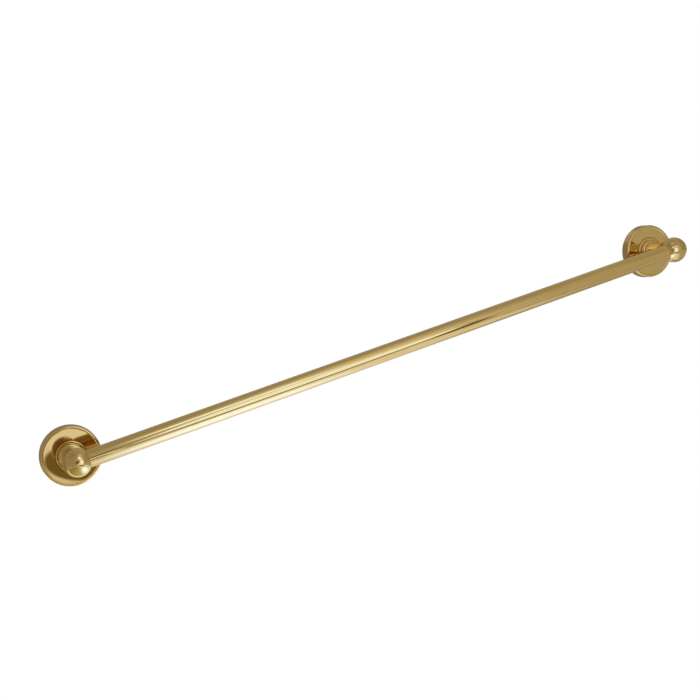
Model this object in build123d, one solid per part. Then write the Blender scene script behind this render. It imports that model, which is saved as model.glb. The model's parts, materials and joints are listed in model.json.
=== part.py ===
from build123d import *
from math import cos, radians, sqrt, tan
import os

# Towel bar: a round brass tube held between two turned ball posts. Each post stands on a
# hollow rosette that covers a bracket screwed to the wall.
# Frame in millimetres: the wall is the plane Y = 0 and everything stands out of it along -Y.
# The bar runs along X, Z points up, and the origin lies on the wall midway between the posts.
# A height below is a distance out from the wall, so a point at height h has Y = -h.

# Bar
post_spacing = 762.0
bar_projection = 63.5
bar_diameter = 19.05
bar_wall = 1.2
bar_fit = 0.1
bar_end_gap = 0.3
bar_past_centre = 4.0
plug_length = 12.0
plug_lead = 0.6

# Rosette: a turned cup with a rolled bead round its flat face
rosette_diameter = 66.6
rosette_draft = 0.7
rosette_face_height = 12.0
rosette_wall = 3.2
rosette_bead_section = 2.1
rosette_bead_rise = 0.5
rosette_bead_overhang = 0.4
rosette_base_edge = 0.4
rosette_inner_fillet = 2.0

# Post, turned in one piece: foot, torus, cove, astragal, neck and ball, counted from the wall
ball_diameter = 30.8
torus_diameter = 28.4
torus_section = 2.8
foot_step = 2.8
foot_land = 0.4
foot_shoulder = 2.6
groove_depth = 1.2
groove_width = 0.4
quirk_depth = 0.5
cove_height = 1.8
cove_hollow = 0.3
neck_diameter = 21.2
neck_waist = 0.35
neck_quirk = 0.2
astragal_rise = 1.5
astragal_section = 1.2

# Joint between post and rosette, closed from inside the rosette with an M6 screw
spigot_diameter = 12.0
spigot_fit = 0.1
spigot_short = 0.3
thread_diameter = 6.0
thread_lead = 0.6
thread_spare = 3.0
screw_length = 16.0
screw_head_diameter = 11.0
screw_head_height = 2.6
screw_head_edge = 0.4
screw_key = 4.0
screw_key_depth = 1.6
washer_diameter = 18.0
washer_thickness = 1.6
washer_fit = 0.2
spring_washer_diameter = 11.8
spring_washer_thickness = 1.6
spring_washer_gap = 0.8
spring_washer_slant = 20.0
drill_point_angle = 118.0

# Wall bracket, a disc that the rosette slides over
bracket_thickness = 6.0
bracket_fit = 0.3
bracket_edge = 0.8
bracket_centre_clearance = 2.0
wall_hole_spacing = 40.0
wall_hole_diameter = 5.0
wall_hole_sink_diameter = 9.6
clamp_groove_depth = 1.2

# Grub screws
grub_diameter = 4.0
grub_key = 2.0
grub_key_depth = 1.6
grub_inset = 0.5
grub_flat_edge = 0.5
grub_cone_tip = 0.3

ball_radius = ball_diameter / 2
bar_radius = bar_diameter / 2
grub_radius = grub_diameter / 2
neck_radius = neck_diameter / 2
rosette_radius = rosette_diameter / 2
rosette_inner_radius = rosette_radius - rosette_wall
rosette_inner_height = rosette_face_height - rosette_wall
bracket_radius = rosette_inner_radius - bracket_fit
clamp_height = bracket_thickness / 2


def spot(radius, height):
    """A point of a turned outline: its radius, and its height out from the wall."""
    return (radius, -height)


def turned(lines):
    """The solid that an outline sweeps about the post's axis."""
    return revolve(make_face(Curve() + lines), Axis.Y)


def turned_through(points):
    """The same, for an outline of straight lines through radius and height pairs."""
    corners = [spot(*point) for point in points]
    return revolve(make_face(Polyline(*corners, close=True)), Axis.Y)


def hexagon(across_flats, depth):
    """A hexagonal prism for a key, standing on the XY plane."""
    return extrude(RegularPolygon(across_flats / 2, 6, major_radius=False), depth)


def drilled(radius, start, end):
    """A drilled hole along the post's axis, with the cone that a drill leaves at its end."""
    cone = radius / tan(radians(drill_point_angle / 2))
    return turned_through([(0, start), (radius, start), (radius, end), (0, end + cone)])


def rosette():
    """The cup: skirt, rolled bead, flat face, hole for the spigot and clamp screw hole."""
    base = rosette_radius
    top = base - rosette_draft
    section = rosette_bead_section
    crest = rosette_face_height + rosette_bead_rise
    bead_height = crest - section
    bead_centre = top + rosette_bead_overhang - section
    skirt_top = bead_height - sqrt(section**2 - (top - bead_centre) ** 2)
    bead_inside = bead_centre - sqrt(section**2 - (section - rosette_bead_rise) ** 2)
    hole = spigot_diameter / 2 + spigot_fit
    inner = rosette_inner_radius
    ceiling = rosette_inner_height
    fillet_start = ceiling - rosette_inner_fillet
    bend = rosette_inner_fillet * (1 - cos(radians(45)))
    shell = turned(
        [
            Polyline(
                spot(inner, 0),
                spot(base - rosette_base_edge, 0),
                spot(base, rosette_base_edge),
                spot(top, skirt_top),
            ),
            ThreePointArc(
                spot(top, skirt_top),
                spot(bead_centre, crest),
                spot(bead_inside, rosette_face_height),
            ),
            Polyline(
                spot(bead_inside, rosette_face_height),
                spot(hole, rosette_face_height),
                spot(hole, ceiling),
                spot(inner - rosette_inner_fillet, ceiling),
            ),
            ThreePointArc(
                spot(inner - rosette_inner_fillet, ceiling),
                spot(inner - bend, ceiling - bend),
                spot(inner, fillet_start),
            ),
            Line(spot(inner, fillet_start), spot(inner, 0)),
        ]
    )
    screw_hole = Cylinder(grub_radius, base, align=(Align.CENTER, Align.CENTER, Align.MAX))
    return shell - Pos(0, -clamp_height, 0) * screw_hole


def post_outline():
    """Half the post's section: spigot, foot, torus, cove, astragal, neck and ball."""
    face = rosette_face_height
    spigot = spigot_diameter / 2
    foot = torus_diameter / 2 + foot_step
    groove = torus_diameter / 2 - groove_depth
    torus = torus_diameter / 2 - torus_section
    bead = neck_radius + astragal_rise - astragal_section
    neck_start = bead - neck_quirk

    spigot_end = rosette_inner_height + spigot_short
    foot_round = foot - groove - foot_shoulder
    foot_top = face + foot_land + foot_round
    groove_top = foot_top + groove_width
    torus_height = groove_top + sqrt(torus_section**2 - (groove - torus) ** 2)
    torus_top = torus_height + torus_section
    cove_top = torus_top + cove_height
    cove_start = torus - quirk_depth
    bead_height = cove_top + astragal_section
    bead_top = bead_height + astragal_section
    ball_start = bar_projection - sqrt(ball_radius**2 - neck_radius**2)
    neck_middle = (bead_top + ball_start) / 2
    ball_side = ball_radius * cos(radians(45))
    foot_bend = foot_round * (1 - cos(radians(45)))
    return [
        Polyline(
            spot(0, spigot_end),
            spot(spigot, spigot_end),
            spot(spigot, face),
            spot(foot, face),
            spot(foot, face + foot_land),
        ),
        ThreePointArc(
            spot(foot, face + foot_land),
            spot(foot - foot_bend, foot_top - foot_bend),
            spot(foot - foot_round, foot_top),
        ),
        Polyline(
            spot(foot - foot_round, foot_top),
            spot(groove, foot_top),
            spot(groove, groove_top),
        ),
        ThreePointArc(
            spot(groove, groove_top),
            spot(torus + torus_section, torus_height),
            spot(torus, torus_top),
        ),
        Line(spot(torus, torus_top), spot(cove_start, torus_top)),
        ThreePointArc(
            spot(cove_start, torus_top),
            spot((cove_start + bead) / 2 - cove_hollow, (torus_top + cove_top) / 2),
            spot(bead, cove_top),
        ),
        ThreePointArc(
            spot(bead, cove_top),
            spot(bead + astragal_section, bead_height),
            spot(bead, bead_top),
        ),
        Line(spot(bead, bead_top), spot(neck_start, bead_top)),
        ThreePointArc(
            spot(neck_start, bead_top),
            spot((neck_start + neck_radius) / 2 - neck_waist, neck_middle),
            spot(neck_radius, ball_start),
        ),
        ThreePointArc(
            spot(neck_radius, ball_start),
            spot(ball_side, bar_projection + ball_side),
            spot(0, bar_projection + ball_radius),
        ),
        Line(spot(0, bar_projection + ball_radius), spot(0, spigot_end)),
    ]


def post(side):
    """The ball post, bored for the bar from the side that faces the other post."""
    body = turned(post_outline())
    blind_end = side * bar_past_centre
    reach = bar_past_centre + ball_diameter
    bore = Cylinder(bar_radius + bar_fit, reach, rotation=(0, 90, 0))
    bore_middle = blind_end - side * reach / 2
    spigot_end = rosette_inner_height + spigot_short
    tapped_end = screw_seat() + screw_length + thread_spare
    tapped = drilled(thread_diameter / 2, spigot_end, tapped_end)
    screw_hole = Cylinder(grub_radius, ball_diameter, align=(Align.CENTER, Align.CENTER, Align.MAX))
    return (
        body
        - Pos(bore_middle, -bar_projection, 0) * bore
        - tapped
        - Pos(0, -bar_projection, 0) * screw_hole
    )


def screw_seat():
    """The height of the post screw's bearing face, under its two washers."""
    return rosette_inner_height - washer_thickness - spring_washer_thickness


def flat_washer():
    """The wide washer against the inside of the rosette's face."""
    hole = thread_diameter / 2 + washer_fit
    low = rosette_inner_height - washer_thickness
    high = rosette_inner_height
    rim = washer_diameter / 2
    return turned_through([(hole, low), (rim, low), (rim, high), (hole, high)])


def spring_washer():
    """A split ring between the screw's head and the flat washer."""
    hole = thread_diameter / 2 + washer_fit
    rim = spring_washer_diameter / 2
    low = screw_seat()
    high = low + spring_washer_thickness
    ring = turned_through([(hole, low), (rim, low), (rim, high), (hole, high)])
    from_axis = (Align.MIN, Align.CENTER, Align.CENTER)
    split = Box(rim, spring_washer_thickness * 2, spring_washer_gap, align=from_axis)
    return ring - Pos(0, -(low + high) / 2, 0) * Rot(spring_washer_slant, 0, 0) * split


def post_screw():
    """The low-headed screw that draws the post down on the rosette."""
    head = screw_head_diameter / 2
    shank = thread_diameter / 2
    edge = screw_head_edge
    seat = screw_seat()
    head_low = seat - screw_head_height
    tip = seat + screw_length
    body = turned_through(
        [
            (0, head_low),
            (head - edge, head_low),
            (head, head_low + edge),
            (head, seat),
            (shank, seat),
            (shank, tip - thread_lead),
            (shank - thread_lead, tip),
            (0, tip),
        ]
    )
    key = Pos(0, -head_low, 0) * Rot(90, 0, 0) * hexagon(screw_key, screw_key_depth)
    return body - key


def wall_bracket():
    """The disc on the wall: clearance for the screw head, two sunk holes and an edge groove."""
    rim = bracket_radius
    thick = bracket_thickness
    centre = washer_diameter / 2 + bracket_centre_clearance
    depth = clamp_groove_depth
    disc = turned_through(
        [
            (centre, 0),
            (rim, 0),
            (rim, clamp_height - depth),
            (rim - depth, clamp_height),
            (rim, clamp_height + depth),
            (rim, thick - bracket_edge),
            (rim - bracket_edge, thick),
            (centre, thick),
        ]
    )
    hole = wall_hole_diameter / 2
    sink = wall_hole_sink_diameter / 2
    sunk_hole = turned_through(
        [(0, 0), (hole, 0), (hole, thick - (sink - hole)), (sink, thick), (0, thick)]
    )
    for direction in (-1, 1):
        disc = disc - Pos(0, 0, direction * wall_hole_spacing / 2) * sunk_hole
    return disc


def grub_screw(length, point):
    """A headless screw with its key socket at Z = 0 below and its point at the top."""
    tip = grub_radius - point
    outline = Polyline(
        (0, 0), (grub_radius, 0), (grub_radius, length - point), (tip, length), (0, length), close=True
    )
    body = Rot(90, 0, 0) * revolve(make_face(outline), Axis.Y)
    return body - hexagon(grub_key, grub_key_depth)


def rosette_grub_screw():
    """The cone-pointed screw under the rosette, seated in the bracket's groove."""
    slope = rosette_draft * clamp_height / rosette_face_height
    outside = rosette_radius - slope - grub_inset
    inside = bracket_radius - clamp_groove_depth + grub_cone_tip
    screw = grub_screw(outside - inside, grub_radius - grub_cone_tip)
    return Pos(0, -clamp_height, -outside) * screw


def bar_grub_screw():
    """The flat-pointed screw under the ball, tight against the bar."""
    length = ball_radius - grub_inset - bar_radius
    screw = grub_screw(length, grub_flat_edge)
    return Pos(0, -bar_projection, -(ball_radius - grub_inset)) * screw


def bar_tube():
    """The tube, reaching into the ball at each end."""
    length = post_spacing + 2 * (bar_past_centre - bar_end_gap)
    tube = Cylinder(bar_radius, length) - Cylinder(bar_radius - bar_wall, length)
    return Pos(0, -bar_projection, 0) * Rot(0, 90, 0) * tube


def bar_end_plug(side):
    """A turned plug pressed into the tube's end, which the grub screw bears against."""
    outer = bar_radius - bar_wall
    outline = Polyline(
        (0, 0),
        (outer, 0),
        (outer, plug_length - plug_lead),
        (outer - plug_lead, plug_length),
        (0, plug_length),
        close=True,
    )
    plug = revolve(make_face(outline), Axis.Y)
    inwards = Rot(0, 0, side * 90)
    return Pos(side * (bar_past_centre - bar_end_gap), -bar_projection, 0) * inwards * plug


parts = {"bar_tube": bar_tube()}
for name, side in (("left", -1), ("right", 1)):
    fittings = {
        "rosette": rosette(),
        "post": post(side),
        "post_screw": post_screw(),
        "flat_washer": flat_washer(),
        "spring_washer": spring_washer(),
        "wall_bracket": wall_bracket(),
        "rosette_grub_screw": rosette_grub_screw(),
        "bar_grub_screw": bar_grub_screw(),
        "bar_end_plug": bar_end_plug(side),
    }
    for piece, shape in fittings.items():
        parts[f"{name}_{piece}"] = Pos(side * post_spacing / 2, 0, 0) * shape

os.makedirs("parts", exist_ok=True)
for name, shape in parts.items():
    export_step(shape, f"parts/{name}.step")
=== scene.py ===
import json
from math import radians

import bpy
from mathutils import Matrix, Vector


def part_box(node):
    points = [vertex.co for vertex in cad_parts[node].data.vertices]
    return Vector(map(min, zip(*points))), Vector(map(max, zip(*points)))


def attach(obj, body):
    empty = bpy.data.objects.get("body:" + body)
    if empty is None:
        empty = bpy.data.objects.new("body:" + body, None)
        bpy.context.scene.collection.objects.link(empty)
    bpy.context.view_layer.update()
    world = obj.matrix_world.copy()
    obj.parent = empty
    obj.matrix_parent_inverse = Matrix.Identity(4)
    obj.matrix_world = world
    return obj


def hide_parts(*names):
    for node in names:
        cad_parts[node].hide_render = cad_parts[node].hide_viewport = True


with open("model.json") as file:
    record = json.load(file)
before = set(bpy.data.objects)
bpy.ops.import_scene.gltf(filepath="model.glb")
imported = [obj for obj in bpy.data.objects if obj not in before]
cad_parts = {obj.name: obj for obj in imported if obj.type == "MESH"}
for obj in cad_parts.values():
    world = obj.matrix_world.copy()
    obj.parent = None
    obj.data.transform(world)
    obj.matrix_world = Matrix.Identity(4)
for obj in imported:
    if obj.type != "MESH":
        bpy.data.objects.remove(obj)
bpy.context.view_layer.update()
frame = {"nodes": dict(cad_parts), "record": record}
nodes = frame["nodes"]
print("frame loaded,", len(nodes), "pieces")


class Wire:
    # a socket that can be added, multiplied and so on; numbers alone stay in Python
    def __init__(self, tree, socket):
        self.tree = tree
        self.socket = socket

    def maths(self, operation, *values):
        settings = {"operation": operation}
        return addNode(self.tree, "ShaderNodeMath", settings, dict(enumerate(values)))[0]

    def __add__(self, other):
        return self.maths("ADD", self, other)

    def __sub__(self, other):
        return self.maths("SUBTRACT", self, other)

    def __rsub__(self, other):
        return self.maths("SUBTRACT", other, self)

    def __mul__(self, other):
        return self.maths("MULTIPLY", self, other)

    def __truediv__(self, other):
        return self.maths("DIVIDE", self, other)

    def __rtruediv__(self, other):
        return self.maths("DIVIDE", other, self)

    __radd__ = __add__
    __rmul__ = __mul__

    def between(self, low, high):
        # 0 below low, 1 above high, smooth between; it also works with low above high
        settings = {"interpolation_type": "SMOOTHSTEP"}
        inputs = {"Value": self, "From Min": low, "From Max": high}
        return addNode(self.tree, "ShaderNodeMapRange", settings, inputs)[0]

    def absolute(self):
        return self.maths("ABSOLUTE", self)

    def root(self):
        return self.maths("SQRT", self)


def addNode(tree, kind, settings=None, inputs=None):
    # any node: its settings first, then values or links for its sockets; gives its outputs as wires
    node = tree.nodes.new(kind)
    for key, value in (settings or {}).items():
        if key == "stops":
            elements = node.color_ramp.elements
            while len(elements) < len(value):
                elements.new(0.5)
            for element, (place, tone) in zip(elements, value):
                element.position = place
                element.color = (*tone, 1.0)
        else:
            setattr(node, key, value)
    for key, value in (inputs or {}).items():
        if isinstance(value, Wire):
            tree.links.new(value.socket, node.inputs[key])
        else:
            node.inputs[key].default_value = value
    return [Wire(tree, socket) for socket in node.outputs]


# Sockets that are taken by their number: outputs of Texture Coordinate and of Light Path,
# and inputs of a Mix node that is set to colours.
objectOutput = 3
cameraRay, glossyRay, transmissionRay = 0, 3, 6
mixShare, mixFirst, mixSecond, mixedColour = 0, 6, 7, 2
white = (1.0, 1.0, 1.0, 1.0)


def newMaterial(name):
    material = bpy.data.materials.new(name)
    material.use_nodes = True
    material.node_tree.nodes.clear()
    return material, material.node_tree


def finishMaterial(tree, surface):
    addNode(tree, "ShaderNodeOutputMaterial", None, {"Surface": surface})


def placeOnPiece(tree):
    # Object coordinates, whole and then along X, Y and Z
    spot = addNode(tree, "ShaderNodeTexCoord")[objectOutput]
    return [spot, *addNode(tree, "ShaderNodeSeparateXYZ", None, {0: spot})]


def mixTones(tree, share, first, second):
    # share is 0 for the first colour and 1 for the second
    inputs = {mixShare: share, mixFirst: first, mixSecond: second}
    return addNode(tree, "ShaderNodeMix", {"data_type": "RGBA"}, inputs)[mixedColour]


def ramp(tree, where, stops):
    return addNode(tree, "ShaderNodeValToRGB", {"stops": stops}, {0: where})[0]


def glow(tree, tone):
    return addNode(tree, "ShaderNodeEmission", None, {"Color": tone})[0]


def mixSurfaces(tree, share, first, second):
    return addNode(tree, "ShaderNodeMixShader", None, {0: share, 1: first, 2: second})[0]


def deselect():
    for thing in bpy.context.selected_objects:
        thing.select_set(False)


# The studio: cards that only the polished brass mirrors, with a white floor and background.
# A card's centre and size are in metres, and fade is the share of it that is lost at its edges.
# A card stands parallel to the wall unless it is level, and one with tilt is turned in its own
# plane by so many degrees.
cards = {
    "softbox": {
        "centre": (0.15, -1.0, 0.05),
        "size": (0.72, 0.78),
        "tint": (1.0, 1.25, 1.926),
        "fade": 0.1,
        "round": True,
    },
    "softboxRim": {
        "centre": (0.13, -1.012, -0.06),
        "size": (0.86, 0.98),
        "tint": (0.192, 0.162, 0.084),
        "fade": 0.08,
        "round": True,
    },
    "softboxHaze": {
        "centre": (0.13, -1.006, -0.02),
        "size": (0.78, 0.74),
        "tint": (0.66, 0.724, 0.871),
        "fade": 0.08,
        "round": True,
    },
    "softboxFoot": {
        "centre": (0.5, -1.004, -0.27),
        "size": (0.18, 0.5),
        "tint": (0.13, 0.11, 0.053),
        "fade": 0.2,
        "round": True,
    },
    "highSoftbox": {
        "centre": (-0.03, -0.7, 0.57),
        "size": (0.5, 0.56),
        "tint": (1.04, 1.316, 2.058),
        "fade": 0.3,
        "round": False,
    },
    "highGlow": {
        "centre": (0.37, -1.1, 0.8),
        "size": (1.1, 2.9),
        "tint": (0.78, 0.801, 0.791),
        "fade": 0.5,
        "round": True,
    },
    "frontLow": {
        "centre": (0.22, -1.08, -0.4),
        "size": (1.44, 0.5),
        "tint": (0.6, 0.636, 0.712),
        "fade": 0.25,
        "round": False,
    },
    "cameraBody": {
        "centre": (-0.46, -0.87, 0.19),
        "size": (0.5, 0.31),
        "tint": (0.15, 0.12, 0.07),
        "fade": 0.12,
        "round": True,
    },
    "tableEdge": {
        "centre": (0.14, -0.96, -0.48),
        "size": (0.64, 0.22),
        "tint": (0.16, 0.132, 0.066),
        "fade": 0.15,
        "round": True,
        "level": True,
    },
    "overhead": {
        "centre": (0.25, -0.65, 1.0),
        "size": (1.3, 1.6),
        "tint": (0.57, 0.58, 0.6),
        "fade": 0.5,
        "round": True,
        "level": True,
    },
    "cameraFoot": {
        "centre": (-0.3597, -0.28, -0.0557),
        "size": (0.088, 0.05),
        "tint": (0.16, 0.13, 0.04),
        "fade": 0.08,
        "round": True,
        "tilt": -25.0,
    },
    "paleEdge": {
        "centre": (-0.358, -0.3, -0.036),
        "size": (0.125, 0.11),
        "tint": (0.8, 0.88, 1.09),
        "fade": 0.14,
        "round": True,
    },
    "neckShade": {
        "centre": (0.372, -0.1, 0.043),
        "size": (0.12, 0.044),
        "tint": (0.34, 0.32, 0.22),
        "fade": 0.35,
        "round": True,
    },
    "tableBack": {
        "centre": (0.6, 0.2, -0.49),
        "size": (1.04, 0.5),
        "tint": (0.27, 0.26, 0.22),
        "fade": 0.35,
        "round": False,
        "level": True,
    },
    "darkBack": {
        "centre": (0.0, 0.5, -0.06),
        "size": (5.0, 1.0),
        "tint": (0.24, 0.22, 0.2),
        "fade": 0.12,
        "round": False,
    },
    # the table's tone changes along the bar, by the distance in metres
    "table": {
        "centre": (0.0, -0.6, -0.5),
        "size": (4.4, 1.86),
        "tones": [
            (-1.0, (0.3, 0.296, 0.171)),
            (-0.5, (0.47, 0.468, 0.32)),
            (-0.15, (0.84, 0.899, 1.055)),
            (0.28, (0.78, 0.845, 1.003)),
            (0.4, (0.72, 0.768, 0.871)),
            (0.54, (0.46, 0.461, 0.449)),
            (0.95, (0.42, 0.395, 0.33)),
        ],
        "fade": 0.1,
        "round": False,
        "level": True,
    },
    "hotSpot": {
        "centre": (-0.11, -0.26, -0.49),
        "size": (0.59, 1.11),
        "tint": (1.13, 1.525, 2.902),
        "fade": 0.35,
        "round": True,
        "level": True,
    },
}


def onlyMirrored(thing):
    # seen in reflections alone, so that it hides nothing and shades nothing
    thing.visible_camera = False
    thing.visible_diffuse = False
    thing.visible_shadow = False


def cardTone(tree, settings, across):
    # one tint, or tones that change along the card, whose coordinates run from -0.5 to 0.5
    if "tint" in settings:
        return (*settings["tint"], 1.0)
    width = settings["size"][0]
    stops = [(place / width + 0.5, tone) for place, tone in settings["tones"]]
    return ramp(tree, across + 0.5, stops)


def addCard(name, settings):
    # a glowing plane that fades out at its edges
    turn = (radians(90), radians(-settings.get("tilt", 0.0)), 0.0)
    if settings.get("level"):
        turn = (0.0, 0.0, 0.0)
    deselect()
    bpy.ops.mesh.primitive_plane_add(size=1.0, location=settings["centre"], rotation=turn)
    card = bpy.context.object
    card.name = name
    card.scale = (*settings["size"], 1.0)
    material, tree = newMaterial(name)
    _, across, up, _ = placeOnPiece(tree)
    outer, inner = 0.5, 0.5 - settings["fade"]
    if settings["round"]:
        share = (across * across + up * up).root().between(outer, inner)
    else:
        share = across.absolute().between(outer, inner) * up.absolute().between(outer, inner)
    clear = addNode(tree, "ShaderNodeBsdfTransparent")[0]
    lit = glow(tree, cardTone(tree, settings, across))
    finishMaterial(tree, mixSurfaces(tree, share, clear, lit))
    card.data.materials.append(material)
    onlyMirrored(card)


# A plain room round the object. Heights and edges are shares of its size: heights from its bottom
# up, and edges from its middle to the left or right, where one part goes over into the next.
roomSettings = {
    "size": 6.0,
    "segments": 48,
    "rings": 24,
    "heights": [("low", 0.33), ("wall", 0.5), ("wall", 0.8), ("ceiling", 0.95)],
    "left": {
        "low": (0.5, 0.49, 0.35),
        "wall": (0.33, 0.302, 0.277),
        "ceiling": (0.27, 0.25, 0.22),
    },
    "middle": {
        "low": (0.5, 0.483, 0.475),
        "wall": (0.44, 0.433, 0.396),
        "ceiling": (0.33, 0.318, 0.277),
    },
    "right": {
        "low": (0.33, 0.3, 0.21),
        "wall": (0.33, 0.3, 0.21),
        "ceiling": (0.33, 0.318, 0.277),
    },
    "leftEdge": (-0.3, 0.1),
    "rightEdge": (0.28, 0.43),
}


def makeRoom():
    settings = roomSettings
    deselect()
    bpy.ops.mesh.primitive_uv_sphere_add(
        segments=settings["segments"], ring_count=settings["rings"], radius=settings["size"] / 2
    )
    room = bpy.context.object
    room.name = "room"
    material, tree = newMaterial("room")
    _, across, _, up = placeOnPiece(tree)
    rise = up / settings["size"] + 0.5
    across = across / settings["size"]
    left, middle, right = [
        ramp(tree, rise, [(height, settings[part][band]) for band, height in settings["heights"]])
        for part in ("left", "middle", "right")
    ]
    tone = mixTones(tree, across.between(*settings["leftEdge"]), left, middle)
    tone = mixTones(tree, across.between(*settings["rightEdge"]), tone, right)
    finishMaterial(tree, glow(tree, tone))
    room.data.materials.append(material)
    onlyMirrored(room)


floorSettings = {"height": -0.9, "size": 14.0, "pale": (0.99, 0.99, 0.99), "whiteShare": 0.96}


def makeFloor():
    # white to the camera and in reflections, but for a share that keeps the shadow
    settings = floorSettings
    deselect()
    bpy.ops.mesh.primitive_plane_add(size=settings["size"], location=(0.0, 0.0, settings["height"]))
    floor = bpy.context.object
    floor.name = "floor"
    material, tree = newMaterial("floor")
    pale = addNode(tree, "ShaderNodeBsdfDiffuse", None, {"Color": (*settings["pale"], 1.0)})[0]
    rays = addNode(tree, "ShaderNodeLightPath")
    share = (rays[cameraRay] + rays[glossyRay] + rays[transmissionRay]) * settings["whiteShare"]
    finishMaterial(tree, mixSurfaces(tree, share, pale, glow(tree, white)))
    floor.data.materials.append(material)


lampSettings = {"place": (0.6, -1.6, 1.6), "size": 1.6, "watts": 30.0}


def makeLamp():
    # a soft lamp that points at the middle of the wall
    settings = lampSettings
    bpy.ops.object.light_add(type="AREA", location=settings["place"])
    lamp = bpy.context.object
    lamp.name = "softLamp"
    lamp.rotation_euler = (-Vector(settings["place"])).to_track_quat("-Z", "Y").to_euler()
    lamp.data.size = settings["size"]
    lamp.data.energy = settings["watts"]
    lamp.visible_camera = False
    lamp.visible_glossy = False


def makeStudio():
    for name, settings in cards.items():
        addCard(name, settings)
    makeRoom()
    makeFloor()
    world = bpy.data.worlds.new("white")
    bpy.context.scene.world = world
    world.use_nodes = True
    world.node_tree.nodes["Background"].inputs["Color"].default_value = white
    makeLamp()
    print("studio ready")


# Screws with real threads, in place of the plain ones of the frame. Lengths are in millimetres: key
# is the width and depth of its hexagon, and tip the radius and length of the end. Each is modelled
# upright, with its key at the bottom, and then set where the plain screw that it stands for is.
screws = {
    "PostScrew": {
        "node": "post_screw",
        "slot": "zinc_steel",
        "radius": 3.0,
        "pitch": 1.0,
        "threadDepth": 0.6,
        "tip": (2.4, 0.6),
        "key": (4.0, 1.6),
        "head": {"radius": 5.5, "height": 2.6, "edge": 0.4, "edgeSteps": 3},
    },
    "RosetteGrubScrew": {
        "node": "rosette_grub_screw",
        "slot": "stainless_steel",
        "radius": 2.0,
        "pitch": 0.7,
        "threadDepth": 0.4,
        "tip": (0.3, 1.7),
        "key": (2.0, 1.6),
    },
    "BarGrubScrew": {
        "node": "bar_grub_screw",
        "slot": "stainless_steel",
        "radius": 2.0,
        "pitch": 0.7,
        "threadDepth": 0.4,
        "tip": (1.5, 0.5),
        "key": (2.0, 1.6),
    },
}

# The outline of a thread and the distance within which its points are merged, in shares of its
# pitch, then the steps of a turn, and how much too thick and too long it is before it is trimmed.
thread = {
    "crest": 1 / 8,
    "flank": 5 / 16,
    "root": 1 / 4,
    "weld": 1 / 200,
    "steps": 32,
    "spare": 0.05,
    "spareTurns": 5,
}
weldDistance = 0.002  # in millimetres, as the screws are while they are modelled
smoothAngle = radians(35)
postSpacing = 0.762
millimetre = 0.001


def editAll(select=True):
    bpy.ops.object.mode_set(mode="EDIT")
    bpy.ops.mesh.select_all(action="SELECT" if select else "DESELECT")


def applyPlace():
    bpy.ops.object.transform_apply(location=True, rotation=True, scale=True)


def combine(piece, other, operation):
    # piece joined to, cut by or kept inside the other one, which is then thrown away
    deselect()
    bpy.context.view_layer.objects.active = piece
    step = piece.modifiers.new("combine", "BOOLEAN")
    step.operation = operation
    step.solver = "EXACT"
    step.object = other
    bpy.ops.object.modifier_apply(modifier=step.name)
    bpy.data.objects.remove(other)


def threadedRod(settings, length):
    # one pitch of the outline, drawn point by point and screwed up about Z; a plain bar trims its
    # crests later
    pitch, depth = settings["pitch"], settings["threadDepth"] + thread["spare"]
    crest, flank, root = [pitch * thread[part] for part in ("crest", "flank", "root")]
    start = (settings["radius"] + thread["spare"], 0.0, -2 * pitch)
    deselect()
    bpy.ops.mesh.primitive_circle_add(vertices=3, radius=crest, location=start)
    rod = bpy.context.object
    applyPlace()
    editAll()
    bpy.ops.mesh.select_mode(type="VERT")
    bpy.ops.mesh.merge(type="CENTER")
    for inwards, up in ((0, crest), (depth, flank), (0, root), (-depth, flank)):
        bpy.ops.mesh.extrude_vertices_move(TRANSFORM_OT_translate={"value": (-inwards, 0.0, up)})
    bpy.ops.object.mode_set(mode="OBJECT")
    turn = rod.modifiers.new("turns", "SCREW")
    turn.axis = "Z"
    turn.screw_offset = pitch
    turn.iterations = int(length / pitch) + thread["spareTurns"]
    turn.steps = turn.render_steps = thread["steps"]
    bpy.ops.object.modifier_apply(modifier=turn.name)
    editAll()
    bpy.ops.mesh.remove_doubles(threshold=pitch * thread["weld"])
    for height, below in ((-pitch / 2, True), (length + pitch / 2, False)):
        bpy.ops.mesh.select_all(action="SELECT")
        cut = {"plane_co": (0.0, 0.0, height), "plane_no": (0.0, 0.0, 1.0), "use_fill": True}
        bpy.ops.mesh.bisect(clear_inner=below, clear_outer=not below, **cut)
    bpy.ops.mesh.select_all(action="SELECT")
    bpy.ops.mesh.normals_make_consistent(inside=False)
    bpy.ops.object.mode_set(mode="OBJECT")
    return rod


def plainBar(radius, low, high, tip=None):
    # a round bar from low to high; with a tip its end is drawn in to that radius and length
    end = high - tip[1] if tip else high
    middle = (0.0, 0.0, (low + end) / 2)
    deselect()
    bpy.ops.mesh.primitive_cylinder_add(
        vertices=2 * thread["steps"], radius=radius, depth=end - low, location=middle
    )
    bar = bpy.context.object
    applyPlace()
    if tip:
        share = tip[0] / radius
        editAll(False)
        bpy.ops.object.mode_set(mode="OBJECT")
        for face in bar.data.polygons:
            face.select = face.normal.z > 0.5  # the top
        bpy.ops.object.mode_set(mode="EDIT")
        bpy.ops.mesh.extrude_region_move(TRANSFORM_OT_translate={"value": (0.0, 0.0, tip[1])})
        bpy.ops.transform.resize(value=(share, share, 1.0), center_override=(0.0, 0.0, high))
        bpy.ops.object.mode_set(mode="OBJECT")
    return bar


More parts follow.
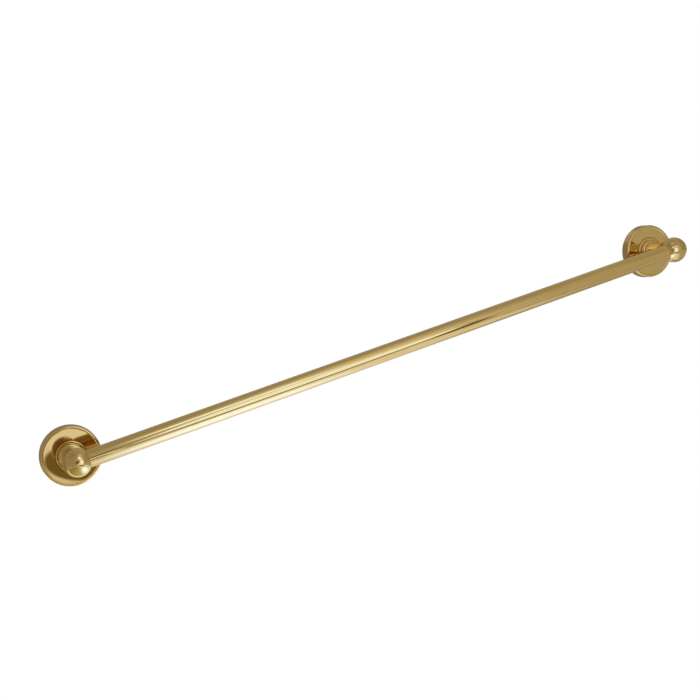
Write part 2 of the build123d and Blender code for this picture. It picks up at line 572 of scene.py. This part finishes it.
def screwHead(settings, overlap):
    # a plain bar whose edge below the overlap with the thread is rounded
    head = plainBar(settings["radius"], 0.0, settings["height"])
    editAll(False)
    bpy.ops.object.mode_set(mode="OBJECT")
    for edge in head.data.edges:
        edge.select = all(head.data.vertices[corner].co.z < overlap for corner in edge.vertices)
    bpy.ops.object.mode_set(mode="EDIT")
    bpy.ops.mesh.select_mode(type="EDGE")
    bpy.ops.mesh.bevel(offset=settings["edge"], segments=settings["edgeSteps"])
    bpy.ops.object.mode_set(mode="OBJECT")
    return head


def modelScrew(settings, length):
    pitch = settings["pitch"]
    head = settings.get("head")
    start = head["height"] - pitch / 2 if head else 0.0
    screw = threadedRod(settings, length)
    combine(screw, plainBar(settings["radius"], start, length, settings["tip"]), "INTERSECT")
    if head:
        combine(screw, screwHead(head, pitch), "UNION")
    width, depth = settings["key"]
    deselect()
    # the key is as wide across its flats as its settings say
    bpy.ops.mesh.primitive_cylinder_add(vertices=6, radius=width / 3**0.5, depth=2 * depth)
    combine(screw, bpy.context.object, "DIFFERENCE")
    screw.select_set(True)
    editAll()
    bpy.ops.mesh.select_mode(type="VERT")
    bpy.ops.mesh.select_all(action="SELECT")
    bpy.ops.mesh.remove_doubles(threshold=weldDistance)
    bpy.ops.object.mode_set(mode="OBJECT")
    return screw


def makeScrew(name, settings):
    # the left screw is modelled and the right one is its copy
    low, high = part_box("left_" + settings["node"])
    middle = (low + high) / 2
    lying = "head" in settings
    length = (high.y - low.y if lying else high.z - low.z) / millimetre
    left = modelScrew(settings, length)
    left.location = (middle.x, high.y, middle.z) if lying else (middle.x, middle.y, low.z)
    left.rotation_euler = (radians(90) if lying else 0.0, 0.0, 0.0)
    left.scale = [millimetre] * 3
    applyPlace()
    bpy.ops.object.shade_smooth_by_angle(angle=smoothAngle)
    left.name = "left" + name
    right = left.copy()
    right.data = left.data.copy()
    right.name = "right" + name
    bpy.context.collection.objects.link(right)
    right.data.transform(Matrix.Translation((postSpacing, 0.0, 0.0)))
    for side, screw in (("left_", left), ("right_", right)):
        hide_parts(side + settings["node"])
        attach(screw, "root")
    return [(left, settings["slot"]), (right, settings["slot"])]


def makeScrews():
    made = []
    for name, settings in screws.items():
        made += makeScrew(name, settings)
    print("threaded screws ready,", len(made))
    return made


# The camera's place and aim are in metres, and its roll about the line of sight in degrees.
cameraSettings = {
    "place": (-0.4747, -1.3151, 0.2210),
    "aim": (-0.0394, 0.0, 0.0063),
    "roll": -16.522,
    "lens": 61.31,
    "nearest": 0.01,
}


def makeCamera():
    settings = cameraSettings
    place = Vector(settings["place"])
    bpy.ops.object.camera_add(location=place)
    camera = bpy.context.object
    camera.name = "camera"
    camera.data.lens = settings["lens"]
    camera.data.clip_start = settings["nearest"]
    look = (Vector(settings["aim"]) - place).to_track_quat("-Z", "Y").to_matrix()
    camera.rotation_euler = (look @ Matrix.Rotation(radians(settings["roll"]), 3, "Z")).to_euler()
    bpy.context.scene.camera = camera
    print("camera ready")


# Finishes. Sizes are in metres, and cloudScale and turnMarks count per metre. Marks left by turning
# follow the distance from the post's axis, or the length of the bar. Roughness goes from clean to
# worn brass or steel, lacquer from where it is thin to where it is thick.
# The tarnish colour is also the colour of the painted shade in the turned corners and on the backs.
finishes = {
    "polished_brass": {
        "colour": (0.88, 0.62, 0.235),
        "shade": (0.84, 0.57, 0.2),
        "tarnishAndShade": (0.3, 0.15, 0.03),
        "cloudScale": 45.0,
        "roughness": (0.012, 0.045),
        "scratchRoughness": 0.12,
        "turnMarks": 2600.0,
        "turnTone": 0.08,
        "turnDepth": 0.0000004,
        "scratchDepth": 0.000002,
        "lacquer": (0.1, 0.25),
    },
    "plain_brass": {
        "colour": (0.78, 0.62, 0.33),
        "shade": (0.66, 0.49, 0.24),
        "tarnishAndShade": (0.3, 0.2, 0.08),
        "cloudScale": 90.0,
        "roughness": (0.22, 0.38),
        "scratchRoughness": 0.2,
        "turnMarks": 1500.0,
        "turnTone": 0.6,
        "turnDepth": 0.00001,
        "scratchDepth": 0.00001,
        "lacquer": (0.0, 0.0),
    },
    "zinc_steel": {
        "colour": (0.72, 0.73, 0.74),
        "shade": (0.58, 0.6, 0.66),
        "tarnishAndShade": (0.3, 0.29, 0.27),
        "cloudScale": 260.0,
        "roughness": (0.24, 0.42),
        "scratchRoughness": 0.15,
        "turnMarks": 1800.0,
        "turnTone": 0.3,
        "turnDepth": 0.000005,
        "scratchDepth": 0.000008,
        "lacquer": (0.0, 0.1),
    },
    "spring_steel": {
        "colour": (0.5, 0.5, 0.5),
        "shade": (0.34, 0.33, 0.33),
        "tarnishAndShade": (0.2, 0.12, 0.07),
        "cloudScale": 320.0,
        "roughness": (0.32, 0.52),
        "scratchRoughness": 0.2,
        "turnMarks": 1200.0,
        "turnTone": 0.4,
        "turnDepth": 0.000008,
        "scratchDepth": 0.000012,
        "lacquer": (0.0, 0.0),
    },
    "stainless_steel": {
        "colour": (0.68, 0.67, 0.65),
        "shade": (0.56, 0.55, 0.54),
        "tarnishAndShade": (0.28, 0.27, 0.25),
        "cloudScale": 300.0,
        "roughness": (0.14, 0.28),
        "scratchRoughness": 0.15,
        "turnMarks": 2400.0,
        "turnTone": 0.3,
        "turnDepth": 0.000004,
        "scratchDepth": 0.000008,
        "lacquer": (0.0, 0.0),
    },
}

# What all the finishes share. A noise shows from one value of it to another, up to its share.
wear = {
    "cloudDetail": 4.0,
    "speckleDetail": 3.0,
    "specklesPerCloud": 9,
    "markDetail": 2.0,
    "markSlant": 0.6,  # lets the marks of turning run up the sides too
    "scratchDetail": 2.0,
    "scratchTurn": (0.3, 0.5, 0.2),
    "scratchScale": (900.0, 60.0, 160.0),
    "scratches": {"from": 0.66, "to": 0.74, "share": 1.0},
    "scratchedClouds": {"from": 0.4, "to": 0.7, "share": 1.0},
    "shadeClouds": {"from": 0.35, "to": 0.75, "share": 0.6},
    "shadeSpeckles": {"from": 0.5, "to": 0.8, "share": 0.25},
    "dullSpeckles": {"from": 0.72, "to": 0.85, "share": 0.3},
    "roughClouds": {"from": 0.3, "to": 0.7, "share": 0.7},
    "roughMarks": 0.3,
    "lacquerRoughness": 0.08,
}

# Painted shade: dull brown brass in the two turned corners, by distance from the wall and from the
# post's axis.
postAxis = 0.381
shadedCorners = {
    "wall": {"height": 0.0, "radius": 0.0333, "reach": 0.0022, "even": 0.5, "clouded": 0.5},
    "foot": {"height": 0.012, "radius": 0.0172, "reach": 0.0011, "even": 0.5, "clouded": 0.5},
}

# Painted shade: the backs of the balls and of the bar, towards the wall, are painted browner.
shadedBacks = {
    "start": (-0.0625, -0.057),
    "end": (-0.047, -0.049),
    "share": 0.82,
    "even": 0.6,
    "clouded": 0.6,
}


def shown(noise, how):
    return noise.between(how["from"], how["to"]) * how["share"]


def addNoise(tree, where, scale, detail):
    inputs = {"Vector": where, "Scale": scale, "Detail": detail}
    return addNode(tree, "ShaderNodeTexNoise", None, inputs)[0]


def turningMarks(tree, reading, settings):
    # fine rings or lines, by a reading in metres across them
    inputs = {"W": reading * settings["turnMarks"], "Scale": 1.0, "Detail": wear["markDetail"]}
    return addNode(tree, "ShaderNodeTexNoise", {"noise_dimensions": "1D"}, inputs)[0]


def scratches(tree, spot, cloud):
    # long thin streaks, only in some of the clouds
    inputs = {"Vector": spot, "Rotation": wear["scratchTurn"], "Scale": wear["scratchScale"]}
    streak = addNode(tree, "ShaderNodeMapping", None, inputs)[0]
    lines = addNoise(tree, streak, 1.0, wear["scratchDetail"])
    return shown(lines, wear["scratches"]) * shown(cloud, wear["scratchedClouds"])


def dullnessAndShade(speckle, cloud, radius, depth, turned):
    # where the brass is brown: specks of wear, and painted shade in the turned corners and on the
    # backs
    dullAndShade = shown(speckle, wear["dullSpeckles"])
    if turned:
        for corner in shadedCorners.values():
            away = radius - corner["radius"]
            deep = depth + corner["height"]
            near = (away * away + deep * deep).root().between(corner["reach"], 0.0)
            dullAndShade = dullAndShade + near * (corner["even"] + cloud * corner["clouded"])
    shadedBack = depth.between(*shadedBacks["start"]) * depth.between(*shadedBacks["end"]) * shadedBacks["share"]
    return dullAndShade + shadedBack * (shadedBacks["even"] + cloud * shadedBacks["clouded"])


def metalFinish(name, settings, turned):
    # turned pieces have their marks round the post's axis, the bar has them round its own
    material, tree = newMaterial(name)
    spot, across, depth, up = placeOnPiece(tree)
    fromAxis = across.absolute() - postAxis
    radius = (fromAxis * fromAxis + up * up).root()
    cloud = addNoise(tree, spot, settings["cloudScale"], wear["cloudDetail"])
    speckleScale = settings["cloudScale"] * wear["specklesPerCloud"]
    speckle = addNoise(tree, spot, speckleScale, wear["speckleDetail"])
    reading = radius + depth * wear["markSlant"] if turned else across
    marks = turningMarks(tree, reading, settings)
    scratch = scratches(tree, spot, cloud)
    dullAndShade = dullnessAndShade(speckle, cloud, radius, depth, turned)

    colour, shade, tarnishAndShade = [(*settings[tone], 1.0) for tone in ("colour", "shade", "tarnishAndShade")]
    ringed = (marks - 0.5) * settings["turnTone"]
    patches = shown(cloud, wear["shadeClouds"]) + shown(speckle, wear["shadeSpeckles"]) + ringed
    # tarnish colours the worn specks and also the painted shade in the corners and on the backs
    tone = mixTones(tree, dullAndShade, mixTones(tree, patches, colour, shade), tarnishAndShade)

    clean, worn = settings["roughness"]
    share = shown(cloud, wear["roughClouds"]) + marks * wear["roughMarks"] + dullAndShade
    roughness = clean + share * (worn - clean) + scratch * settings["scratchRoughness"]
    thin, thick = settings["lacquer"]
    height = marks * settings["turnDepth"] - scratch * settings["scratchDepth"]
    relief = {"Height": height, "Strength": 1.0, "Distance": 1.0}
    inputs = {
        "Base Color": tone,
        "Metallic": 1.0,
        "Roughness": roughness,
        "Coat Weight": thin + cloud * (thick - thin),
        "Coat Roughness": wear["lacquerRoughness"],
        "Normal": addNode(tree, "ShaderNodeBump", None, relief)[0],
    }
    finishMaterial(tree, addNode(tree, "ShaderNodeBsdfPrincipled", None, inputs)[0])
    return material


def dress(extraPieces):
    # the turned pieces share one material for each slot; the bar has its own polished brass
    made = {slot: metalFinish(slot, settings, True) for slot, settings in finishes.items()}
    barBrass = metalFinish("bar_brass", finishes["polished_brass"], False)
    for row in frame["record"]["subparts"]:
        materials = nodes[row["node"]].data.materials
        materials.clear()
        materials.append(barBrass if row["node"] == "bar_tube" else made[row["material_slot"]])
    for piece, slot in extraPieces:
        piece.data.materials.clear()
        piece.data.materials.append(made[slot])
    print("finishes ready")


threadedScrews = makeScrews()
makeStudio()
makeCamera()
dress(threadedScrews)

bpy.context.scene.view_settings.view_transform = "Standard"
